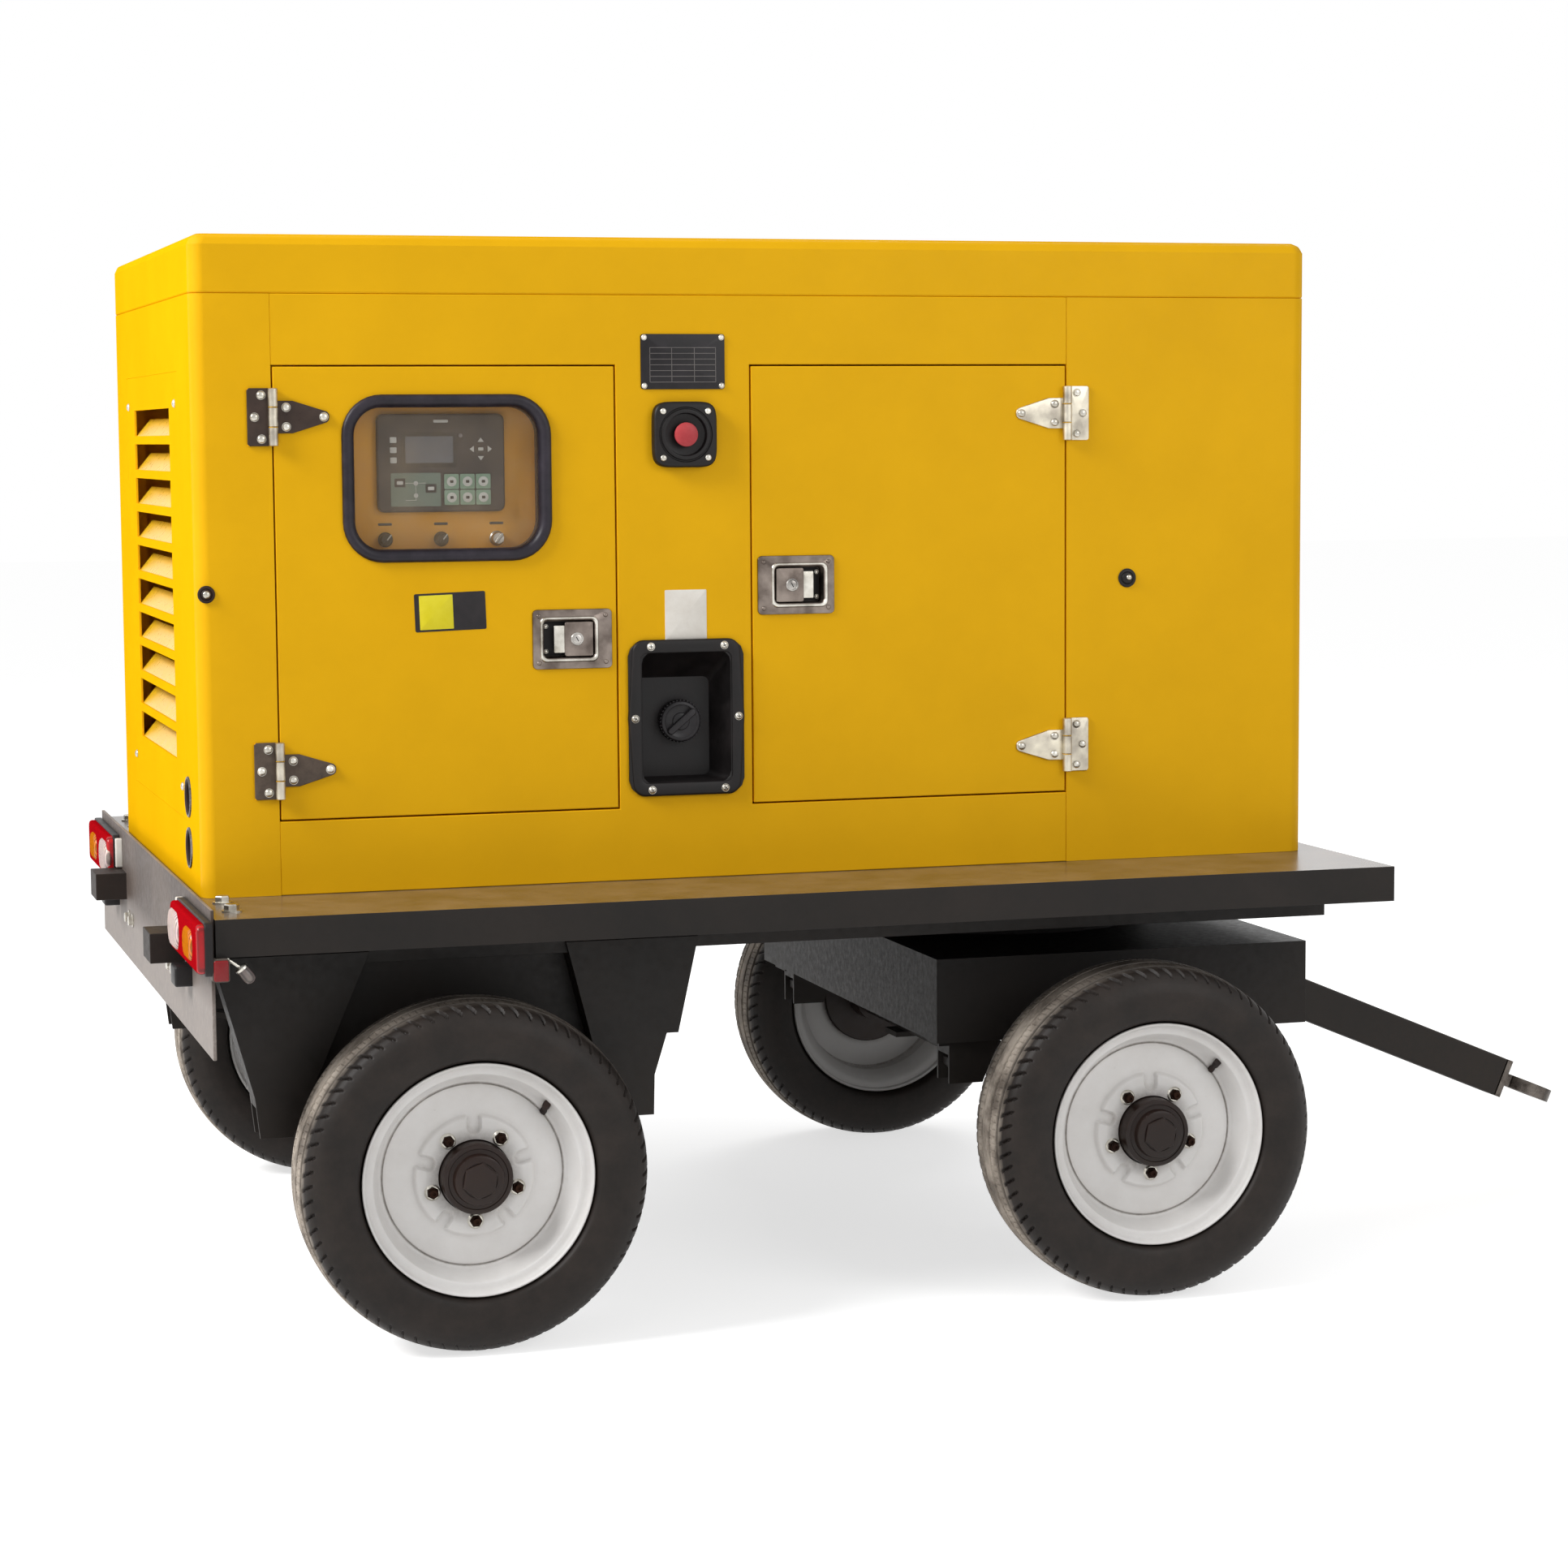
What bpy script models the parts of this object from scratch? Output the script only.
"""Towable diesel generator: a silenced canopy set carried on a four-wheel turntable trailer.

Metres, +Z up, +X towards the tow eye. The origin is on the ground, below the middle of the
whole outline. Stations along X are measured from the middle of the canopy, and the empty
part_origin then shifts everything. Right and left are the trailer's own sides, seen facing
+X: right is -Y, the control side, and left is +Y.
"""

import math

import bmesh
import bpy
from mathutils import Matrix, Vector

# Clearances
GAP = 0.0003  # between pieces that rest on each other
RUN = 0.0006  # between a moving piece and its guide
DOOR_GAP = 0.003  # all round a door
OVERLAP = 0.001  # how far joined shapes reach into each other
BURIED = 0.01  # how far a cutter stands out of what it cuts

# Canopy
CANOPY_LENGTH = 2.05
CANOPY_WIDTH = 1.14
CANOPY_HEIGHT = 1.025  # deck to roof seam
ROOF_HEIGHT = 0.100
ROOF_BEVEL = 0.018
WALL = 0.030  # sheet and its sound lining
CORNER_RADIUS = 0.025
REAR_WRAP = 0.135  # how far the rear shell turns round the sides
FRONT_WRAP = 0.473
REAR_DOOR_WIDTH = 0.601
COLUMN_WIDTH = 0.243
SILL_HEIGHT = 0.127
DOOR_HEIGHT = 0.778

# Louvre panels, one in each end wall
PANEL_WIDTH = 0.770
PANEL_HEIGHT = 0.780
PANEL_SILL = 0.118
PANEL_SHEET = 0.004
LOUVRES = 10
LOUVRE_WIDTH = 0.530
LOUVRE_FOOT = 0.096  # lowest slot above the panel's lower edge
LOUVRE_PITCH = 0.0637
LOUVRE_SLOT = 0.0485
LOUVRE_DEPTH = 0.026  # how far each blade leans inwards
LOUVRE_RISE = 0.032  # and how far it climbs
LOUVRE_SHEET = 0.003
PANEL_LAND = 0.025  # panel edge that lies on the wall
OUTLET_RADIUS = 0.0325  # cable outlets through the rear wall
OUTLET_Y = -0.420
OUTLET_HEIGHTS = (0.072, 0.161)

# Door furniture
HINGE_HEIGHT = 0.097
HINGE_RISES = (0.088, 0.690)  # centres above the door's lower edge
KNUCKLE_RADIUS = 0.008
PIN_RADIUS = 0.0035
HINGE_STANDOFF = 0.0005
LEAF_SHEET = 0.004
FRAME_LEAF = 0.034
DOOR_LEAF = 0.088
LATCH_WIDTH = 0.142
LATCH_HEIGHT = 0.104
LATCH_FLANGE = 0.003
LATCH_INSET = 0.009  # latch plate to the door's free edge
LATCH_OFFSET = 0.006  # the recess lies this far off the plate's middle
RECESS_WIDTH = 0.090
RECESS_HEIGHT = 0.064
RECESS_DEPTH = 0.020
PAN_SHEET = 0.003
PADDLE_WIDTH = 0.068
PADDLE_SHEET = 0.005
PADDLE_PIN = 0.0022
PADDLE_PLAY = 0.0045  # paddle edge to recess wall beside the pivot
REAR_LATCH_RISE = 0.302
FRONT_LATCH_RISE = 0.389

# Window in the right rear door
WINDOW_WIDTH = 0.366
WINDOW_HEIGHT = 0.287
WINDOW_FROM_HINGE = 0.1185  # seam to the surround's near edge
WINDOW_RISE = 0.584  # door's lower edge to window middle
WINDOW_RADIUS = 0.062
GASKET_LIP = 0.008
GASKET_BAND = 0.022
PANE_SHEET = 0.005

# Control compartment behind the window
PANEL_BACKSET = 0.065  # canopy face to control panel face
CONTROL_BOX_DEPTH = 0.135
CONTROL_BOX_SIZE = (0.500, 0.430)
CONTROLLER_SIZE = (0.225, 0.170, 0.012)
CONTROLLER_RISE = 0.026  # above the window's middle
KNOB_RADIUS = 0.013
KNOB_LENGTH = 0.019
KNOB_PITCH = 0.0985
KNOB_DROP = 0.106  # below the window's middle

# Centre column fittings, from the column's middle and the deck
STOP_SIZE = 0.115
STOP_HEIGHT = 0.783
STOP_DEPTH = 0.020
BUTTON_RADIUS = 0.0212
BUTTON_TRAVEL = 0.006
FILLER_SIZE = (0.206, 0.276)
FILLER_HEIGHT = 0.286
FILLER_LIP = 0.022
FILLER_DEPTH = 0.060
FILLER_SHEET = 0.005
CAP_DROP = 0.010  # cap below the pocket's middle
CAP_RADIUS = 0.037
CAP_LENGTH = 0.022

# Deck
DECK_REAR = 0.016  # past the canopy
DECK_FRONT = 0.053
DECK_SIDE = 0.275
DECK_SHEET = 0.006
EDGE_DEPTH = 0.063
EDGE_WIDTH = 0.045
RAIL_DEPTH = 0.115
RAIL_WIDTH = 0.050
RAIL_SPACING = 1.200

# Wheels and axles
TYRE_RADIUS = 0.300
TYRE_WIDTH = 0.185
RIM_RADIUS = 0.1985
RIM_WIDTH = 0.155
TRACK = 1.569
TYRE_TO_DECK = 0.094
REAR_AXLE = -0.612
FRONT_AXLE = 0.615
HUB_RADIUS = 0.061
SPINDLE_RADIUS = 0.0195
BEAM = 0.050
TYRE_SIDES = 20
ROUND_SIDES = 12
KNUCKLE_SIDES = 8
PIN_SIDES = 6
EYE_SIDES = 8

# Springs and their hangers
REAR_SPRING_HALF = 0.310
FRONT_SPRING_HALF = 0.250
FRONT_SPRING_SPACING = 0.980
SPRING_WIDTH = 0.050
SPRING_STACK = 0.034
SPRING_LEAF = 0.010
SPRING_RISE = 0.030
SPRING_EYE = 0.018
HANGER_SHEET = 0.006
HANGER_PLAY = 0.003
WEB_SHEET = 0.006
WEB_ARCH = 0.060  # room over the axle

# Turntable and bogie
RING_RADIUS = 0.300
RING_BAND = 0.060
RING_HEIGHT = 0.057  # both rings together
TURNTABLE_SHEET = 0.010
KINGPIN_RADIUS = 0.022
BOGIE_REAR = 0.310  # behind the front axle
BOGIE_FRONT = 0.425
BOGIE_WIDTH = 1.112
BOGIE_DEPTH = 0.155
BOGIE_SHEET = 0.012

# Drawbar
BAR_ANGLE = 22.7  # below the level, resting on its stop
BAR_LENGTH = 0.715
BAR_SIZE = 0.080
BAR_PIN_RADIUS = 0.012
BAR_PIN_FORWARD = 0.032
BAR_PIN_RISE = 0.040
EYE_FLANGE = 0.012
EYE_NECK = 0.065
EYE_OUTER = 0.058
EYE_INNER = 0.030
EYE_HEIGHT = 0.026

# Tail board and lamps
BOARD_SHEET = 0.006
BOARD_LIP = 0.015  # above the deck
BOARD_DROP = 0.112
FLAP_DROP = 0.122
BOARD_INSET = 0.010  # board end to deck side
STUB_TO_LAMP = 0.007
STUB_WIDTH = 0.100
STUB_DEPTH = 0.060
STUB_HEIGHT = 0.052
LAMP_LENGTH = 0.360
LAMP_HEIGHT = 0.090
LAMP_DEPTH = 0.030
LAMP_OUTBOARD = 0.017  # past the deck side

# Machinery inside the canopy
TANK_HEIGHT = 0.120
TANK_CLEAR = 0.035  # tank to canopy lining
SHAFT_HEIGHT = 0.220  # above the tank
SHAFT_RADIUS = 0.018
ENGINE_LENGTH = 0.520
ENGINE_HALF_WIDTH = 0.190
HEAD_HEIGHT = 0.120
CRANKCASE_HEIGHT = 0.350
CRANKCASE_RISE = 0.090
ALTERNATOR_LENGTH = 0.560
ALTERNATOR_RADIUS = 0.190
BELL_RADIUS = 0.205
BELL_LENGTH = 0.060
FAN_RADIUS = 0.230
FAN_BLADES = 6
FAN_STATION = 0.605
FAN_HEIGHT = 0.310  # above the tank
RADIATOR_STATION = 0.720
RADIATOR_SIZE = (0.070, 0.720, 0.620)
MUFFLER_RADIUS = 0.085
MUFFLER_LENGTH = 0.460
TAILPIPE_TO_RADIATOR = 0.025
BATTERY_SIZE = (0.240, 0.180, 0.200)

# Levels and faces worked out from the sizes above
DECK_BOTTOM = 2 * TYRE_RADIUS + TYRE_TO_DECK
DECK_TOP = DECK_BOTTOM + EDGE_DEPTH
RAIL_BOTTOM = DECK_TOP - RAIL_DEPTH
TURNTABLE_Z = RAIL_BOTTOM - OVERLAP
FLOOR = DECK_TOP + GAP
SEAM = FLOOR + CANOPY_HEIGHT
DOOR_SILL = FLOOR + SILL_HEIGHT
HALF_LENGTH = CANOPY_LENGTH / 2
HALF_WIDTH = CANOPY_WIDTH / 2
REAR_SEAM = REAR_WRAP - HALF_LENGTH
FRONT_SEAM = HALF_LENGTH - FRONT_WRAP
COLUMN_REAR = REAR_SEAM + REAR_DOOR_WIDTH
COLUMN_FRONT = COLUMN_REAR + COLUMN_WIDTH
COLUMN_MIDDLE = (COLUMN_REAR + COLUMN_FRONT) / 2
DECK_HALF = HALF_WIDTH + DECK_SIDE
DECK_TAIL = -HALF_LENGTH - DECK_REAR
DECK_NOSE = HALF_LENGTH + DECK_FRONT
WHEEL_Y = TRACK / 2
SPRING_TOP = TYRE_RADIUS + BEAM / 2 + SPRING_STACK
EYE_LEVEL = SPRING_TOP + SPRING_RISE - SPRING_LEAF / 2
HANGER_SEAT = EYE_LEVEL + SPRING_EYE * math.cos(math.pi / EYE_SIDES) + GAP
HANGER_FOOT = EYE_LEVEL - 2 * SPRING_EYE
BOGIE_TOP = RAIL_BOTTOM - RING_HEIGHT
BOGIE_BOTTOM = BOGIE_TOP - BOGIE_DEPTH
BOGIE_NOSE = FRONT_AXLE + BOGIE_FRONT
BOGIE_HALF = BOGIE_WIDTH / 2
PIN_X = BOGIE_NOSE + BAR_PIN_FORWARD
PIN_Z = BOGIE_BOTTOM + BAR_PIN_RISE
BOARD_FACE = DECK_TAIL - GAP - BOARD_SHEET
TANK_TOP = FLOOR + TANK_HEIGHT
SHAFT_Z = TANK_TOP + SHAFT_HEIGHT
WINDOW_X = REAR_SEAM + WINDOW_FROM_HINGE + WINDOW_WIDTH / 2
WINDOW_Z = DOOR_SILL + WINDOW_RISE
EYE_SPAN = BAR_LENGTH + GAP + EYE_FLANGE + EYE_NECK
SLOPE = math.radians(BAR_ANGLE)
NOSE = PIN_X + (EYE_SPAN + EYE_OUTER) * math.cos(SLOPE) + EYE_HEIGHT / 2 * math.sin(SLOPE)
TAIL = BOARD_FACE - STUB_DEPTH
STUB_Y = DECK_HALF + LAMP_OUTBOARD - LAMP_LENGTH - STUB_TO_LAMP - STUB_WIDTH / 2
MIDDLE = (NOSE + TAIL) / 2

# Colour, roughness and metallic value of each finish
FINISHES = {
    "canopy_yellow": ((0.72, 0.36, 0.012), 0.38, 0.0),
    "chassis_black": ((0.030, 0.026, 0.024), 0.45, 0.0),
    "board_grey": ((0.13, 0.12, 0.11), 0.5, 0.0),
    "stainless": ((0.62, 0.60, 0.57), 0.3, 1.0),
    "rubber": ((0.025, 0.023, 0.025), 0.75, 0.0),
    "tyre_rubber": ((0.040, 0.034, 0.032), 0.85, 0.0),
    "rim_white": ((0.70, 0.66, 0.62), 0.42, 0.0),
    "black_plastic": ((0.020, 0.020, 0.022), 0.5, 0.0),
    "red_plastic": ((0.55, 0.06, 0.06), 0.35, 0.0),
    "lamp_red": ((0.60, 0.02, 0.03), 0.15, 0.0),
    "panel_ochre": ((0.52, 0.27, 0.05), 0.45, 0.0),
    "pane": ((0.60, 0.62, 0.62), 0.05, 0.0),
    "engine_green": ((0.05, 0.14, 0.10), 0.45, 0.0),
    "cast_grey": ((0.20, 0.21, 0.22), 0.55, 0.3),
    "aluminium": ((0.45, 0.46, 0.47), 0.45, 1.0),
    "steel": ((0.22, 0.21, 0.20), 0.5, 1.0),
}


def clear_scene():
    for obj in list(bpy.data.objects):
        bpy.data.objects.remove(obj)


def finished(shape):
    """Points on top of each other made one, and every face turned outwards."""
    bmesh.ops.remove_doubles(shape, verts=shape.verts, dist=1e-6)
    bmesh.ops.recalc_face_normals(shape, faces=shape.faces)
    return shape


def prism(outline, axis, low, high):
    """The outline carried along an axis; its points lie on the other two, in X, Y, Z order."""
    shape = bmesh.new()
    along = "XYZ".index(axis)
    corners = []
    for pair in outline:
        place = list(pair)
        place.insert(along, low)
        corners.append(shape.verts.new(place))
    face = shape.faces.new(corners)
    grown = bmesh.ops.extrude_face_region(shape, geom=[face])["geom"]
    tops = [item for item in grown if isinstance(item, bmesh.types.BMVert)]
    step = Vector((0.0, 0.0, 0.0))
    step[along] = high - low
    bmesh.ops.translate(shape, verts=tops, vec=step)
    return finished(shape)


def block(x, y, z):
    """A box between a low and a high value on each axis."""
    corners = [(x[0], y[0]), (x[1], y[0]), (x[1], y[1]), (x[0], y[1])]
    return prism(corners, "Z", z[0], z[1])


def turned(profile, axis, centre, sides=ROUND_SIDES, closed=False):
    """A profile of (radius, distance along the axis) spun round it, with a flat facing -Z."""
    shape = bmesh.new()
    along = "XYZ".index(axis)
    out = {"X": Vector((0, 0, -1)), "Y": Vector((0, 0, -1)), "Z": Vector((0, -1, 0))}[axis]
    line = Vector((0.0, 0.0, 0.0))
    line[along] = 1.0
    half = Matrix.Rotation(math.pi / sides, 3, line)
    middle = Vector(centre)
    points = [shape.verts.new(middle + line * s + half @ out * r) for r, s in profile]
    ends = points[1:] + points[:1] if closed else points[1:]
    edges = [shape.edges.new(pair) for pair in zip(points, ends)]
    bmesh.ops.spin(shape, geom=points + edges, cent=middle, axis=line,
                   angle=2 * math.pi, steps=sides, use_merge=True)
    return finished(shape)


def rod(axis, centre, radius, low, high, sides=ROUND_SIDES):
    """A plain cylinder between two distances along the axis, measured from the centre."""
    return turned([(0, low), (radius, low), (radius, high), (0, high)], axis, centre, sides)


def ring(axis, centre, inner, outer, low, high, sides=ROUND_SIDES):
    profile = [(inner, low), (outer, low), (outer, high), (inner, high)]
    return turned(profile, axis, centre, sides, closed=True)


def rounded(width, height, radius, steps=3, centre=(0.0, 0.0)):
    """The outline of a rectangle whose corners are arcs."""
    points = []
    for turn in range(4):
        corner = math.pi / 2 * turn
        side_x = 1 if turn in (0, 3) else -1
        side_y = 1 if turn in (0, 1) else -1
        for step in range(steps + 1):
            angle = corner + math.pi / 2 * step / steps
            x = side_x * (width / 2 - radius) + radius * math.cos(angle)
            y = side_y * (height / 2 - radius) + radius * math.sin(angle)
            points.append((centre[0] + x, centre[1] + y))
    return points


def merged(*shapes):
    """Several shapes in one mesh, left as separate bodies."""
    whole = bmesh.new()
    for shape in shapes:
        carrier = bpy.data.meshes.new("carrier")
        shape.to_mesh(carrier)
        shape.free()
        whole.from_mesh(carrier)
        bpy.data.meshes.remove(carrier)
    return whole


def tilted(shape):
    """A shape modelled along +X from the drawbar pin, turned down to the drawbar's rest slope."""
    pin = Vector((PIN_X, 0.0, PIN_Z))
    turn = Matrix.Rotation(SLOPE, 3, "Y")
    bmesh.ops.rotate(shape, cent=pin, matrix=turn, verts=shape.verts)
    return shape


def material(name, finish):
    colour, roughness, metallic = FINISHES[finish]
    surface = bpy.data.materials.new(name)
    surface.use_nodes = True
    shader = surface.node_tree.nodes["Principled BSDF"]
    shader.inputs["Base Color"].default_value = (*colour, 1.0)
    shader.inputs["Roughness"].default_value = roughness
    shader.inputs["Metallic"].default_value = metallic
    surface.diffuse_color = (*colour, 1.0)
    return surface


def joint(name, place, parent):
    """An empty on a joint's axis, hung on another joint or on the part's origin."""
    empty = bpy.data.objects.new(name, None)
    empty.empty_display_size = 0.05
    bpy.context.scene.collection.objects.link(empty)
    empty["place"] = place
    if parent:
        empty.parent = parent
        empty.location = Vector(place) - Vector(parent["place"])
    return empty


def put(name, shape, carrier):
    """An object that moves with its carrier; its mesh keeps the canopy's stations."""
    mesh = bpy.data.meshes.new(name)
    shape.to_mesh(mesh)
    shape.free()
    obj = bpy.data.objects.new(name, mesh)
    bpy.context.scene.collection.objects.link(obj)
    obj.parent = carrier
    obj.matrix_parent_inverse = Matrix.Translation(-Vector(carrier["place"]))
    return obj


def piece(name, finish, carrier, shape, *steps):
    """A named sub-part: a shape, then what is cut from it or joined to it, in order."""
    obj = put(name, shape, carrier)
    obj.data.materials.append(material(name, finish))
    for number, (operation, other) in enumerate(steps, 1):
        helper = put(f"{name}_helper_{number}", other, carrier)
        helper.hide_render = True
        helper.display_type = "WIRE"
        modifier = obj.modifiers.new(operation.lower(), "BOOLEAN")
        modifier.operation = operation
        modifier.object = helper
    obj.data.shade_smooth()
    obj.data.set_sharp_from_angle(angle=math.radians(35))
    return obj


def cut(*shapes):
    return "DIFFERENCE", merged(*shapes)


def add(*shapes):
    return "UNION", merged(*shapes)


def mirrored(side, low, high):
    """The span from low to high on one side of the middle plane: side is -1 right, +1 left."""
    return (low, high) if side > 0 else (-high, -low)


clear_scene()
origin = joint("part_origin", (0.0, 0.0, 0.0), None)
origin.location.x = -MIDDLE


# ---- Deck, rails and rear spring hangers: one welded frame

def hanger(axle, end, half, y, profile):
    """One spring hanger: a tapered cheek pair, open below for the spring's eye.

    The profile runs outwards from the eye, away from the axle, with its heights.
    """
    wide = SPRING_WIDTH / 2 + HANGER_PLAY + HANGER_SHEET
    outline = [(axle + end * (half + out), z) for out, z in profile]
    return prism(outline, "Y", y - wide, y + wide)


def hanger_slot(axle, end, half, y):
    wide = SPRING_WIDTH / 2 + HANGER_PLAY
    eye = axle + end * half
    span = sorted((eye - end * 0.140, eye + end * 0.060))
    return block(span, (y - wide, y + wide), (HANGER_FOOT - BURIED, HANGER_SEAT))


def web(y):
    """The deep plate between two hangers, under the rail and arched over the axle."""
    low = HANGER_SEAT + 0.012
    top = RAIL_BOTTOM + 0.010
    ends = REAR_SPRING_HALF - 0.016
    feet = [(-ends, low), (-0.210, low), (-0.130, low + WEB_ARCH),
            (0.130, low + WEB_ARCH), (0.210, low), (ends, low)]
    outline = [(REAR_AXLE + x, z) for x, z in feet + [(ends, top), (-ends, top)]]
    return prism(outline, "Y", y - WEB_SHEET / 2, y + WEB_SHEET / 2)


def deck_frame():
    plate_bottom = DECK_TOP - DECK_SHEET
    half_rail = RAIL_WIDTH / 2
    rail_y = RAIL_SPACING / 2
    nose = DECK_NOSE - EDGE_WIDTH + 0.012
    tail = DECK_TAIL + EDGE_WIDTH - 0.012
    rails = [block((tail, nose), (y - half_rail, y + half_rail), (RAIL_BOTTOM, plate_bottom + OVERLAP))
             for y in (-rail_y, rail_y)]
    turntable = block((FRONT_AXLE - 0.32, FRONT_AXLE + 0.32), (-rail_y, rail_y),
                      (TURNTABLE_Z, TURNTABLE_Z + TURNTABLE_SHEET))
    members = [block((x - 0.03, x + 0.03), (-rail_y, rail_y),
                     (RAIL_BOTTOM + OVERLAP * 5, plate_bottom + OVERLAP))
               for x in (REAR_AXLE - 0.30, REAR_AXLE + 0.30, FRONT_AXLE - 0.25, FRONT_AXLE + 0.25)]
    top, waist = RAIL_BOTTOM + 0.02, HANGER_SEAT + SPRING_EYE
    step = waist + 0.073
    ahead = [(-0.103, top), (0.136, top), (0.098, step), (0.077, step), (0.054, waist),
             (0.052, HANGER_FOOT), (-0.024, HANGER_FOOT)]
    behind = [(-0.172, top), (0.097, top), (0.030, waist), (0.022, HANGER_FOOT), (-0.034, HANGER_FOOT)]
    hangers = [hanger(REAR_AXLE, end, REAR_SPRING_HALF, y, profile)
               for end, profile in ((1, ahead), (-1, behind)) for y in (-rail_y, rail_y)]
    slots = [hanger_slot(REAR_AXLE, end, REAR_SPRING_HALF, y) for end in (1, -1) for y in (-rail_y, rail_y)]
    web_y = rail_y - half_rail + WEB_SHEET
    return piece(
        "deck_frame", "chassis_black", origin,
        block((DECK_TAIL, DECK_NOSE), (-DECK_HALF, DECK_HALF), (DECK_BOTTOM, DECK_TOP)),
        cut(block((DECK_TAIL + EDGE_WIDTH, DECK_NOSE - EDGE_WIDTH),
                  (EDGE_WIDTH - DECK_HALF, DECK_HALF - EDGE_WIDTH),
                  (DECK_BOTTOM - BURIED, plate_bottom))),
        add(*rails),
        add(*members),
        add(turntable),
        add(*hangers),
        add(web(-web_y), web(web_y)),
        cut(*slots),
        cut(rod("Z", (FRONT_AXLE, 0.0, 0.0), KINGPIN_RADIUS + 2.5 * RUN,
                TURNTABLE_Z - BURIED, TURNTABLE_Z + TURNTABLE_SHEET + BURIED)),
    )


deck_frame()


# ---- Tail board with its flap and two box-section stubs, and the two tail lamps

def tail_board():
    half = DECK_HALF - BOARD_INSET
    low = DECK_TOP - BOARD_DROP
    sheet = (BOARD_FACE, BOARD_FACE + BOARD_SHEET)
    stub_top = low + STUB_HEIGHT - 0.006
    stubs = [block((TAIL, BOARD_FACE + OVERLAP), (y - STUB_WIDTH / 2, y + STUB_WIDTH / 2),
                   (stub_top - STUB_HEIGHT, stub_top)) for y in (-STUB_Y, STUB_Y)]
    return piece(
        "tail_board", "board_grey", origin,
        block(sheet, (-half, half), (low - FLAP_DROP, DECK_TOP + BOARD_LIP)),
        add(*stubs),
    )


def tail_lamp(name, side):
    outer = DECK_HALF + LAMP_OUTBOARD
    lens = (BOARD_FACE - GAP - LAMP_DEPTH, BOARD_FACE - GAP)
    top = DECK_TOP - 0.002
    low, high = mirrored(side, outer - LAMP_LENGTH, outer)
    soft = 0.010
    outline = [(lens[1], low), (lens[1], high), (lens[0] + soft, high), (lens[0], high - soft),
               (lens[0], low + soft), (lens[0] + soft, low)]
    return piece(name, "lamp_red", origin, prism(outline, "Z", top - LAMP_HEIGHT, top))


tail_board()
tail_lamp("tail_lamp_right", -1)
tail_lamp("tail_lamp_left", 1)


# ---- Axles with their leaf springs

def spring_outline(axle, half):
    """Seen from the side: arched on top, and thickest over the axle."""
    steps = [step / 4 - 1 for step in range(9)]
    top = [(axle + half * u, SPRING_TOP + SPRING_RISE * u * u) for u in steps]
    under = [(axle + half * u,
              SPRING_TOP + SPRING_RISE * u * u - SPRING_LEAF
              - (SPRING_STACK - SPRING_LEAF + OVERLAP) * max(0.0, 1 - 1.25 * abs(u)))
             for u in reversed(steps)]
    return top + under


def axle(name, station, half, spacing, carrier):
    beam_end = WHEEL_Y - 0.060
    square = BEAM / 2
    spring_ys = (-spacing / 2, spacing / 2)
    wide = SPRING_WIDTH / 2
    level = (station, 0.0, TYRE_RADIUS)
    springs = [prism(spring_outline(station, half), "Y", y - wide, y + wide) for y in spring_ys]
    eyes = [rod("Y", (station + end * half, y, EYE_LEVEL), SPRING_EYE,
                -wide + OVERLAP, wide - OVERLAP, EYE_SIDES)
            for y in spring_ys for end in (-1, 1)]
    clamps = [block((station - 0.05, station + 0.05), (y - wide - 0.012, y + wide + 0.012),
                    (TYRE_RADIUS - square - 0.010, TYRE_RADIUS - square + OVERLAP)) for y in spring_ys]
    return piece(
        name, "chassis_black", carrier,
        rod("Y", level, SPINDLE_RADIUS, -(WHEEL_Y + 0.050), WHEEL_Y + 0.050),
        add(block((station - square, station + square), (-beam_end, beam_end),
                  (TYRE_RADIUS - square, TYRE_RADIUS + square))),
        add(*springs),
        add(*eyes),
        add(*clamps),
    )


axle("rear_axle", REAR_AXLE, REAR_SPRING_HALF, RAIL_SPACING, origin)


# ---- Turntable: the upper ring on the deck, the bogie with the lower ring and the kingpin

def turntable_ring():
    low = BOGIE_TOP + RING_HEIGHT / 2 + GAP
    return piece("turntable_ring", "steel", origin,
                 ring("Z", (FRONT_AXLE, 0.0, 0.0), RING_RADIUS - RING_BAND, RING_RADIUS,
                      low, TURNTABLE_Z - GAP, TYRE_SIDES))


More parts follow.
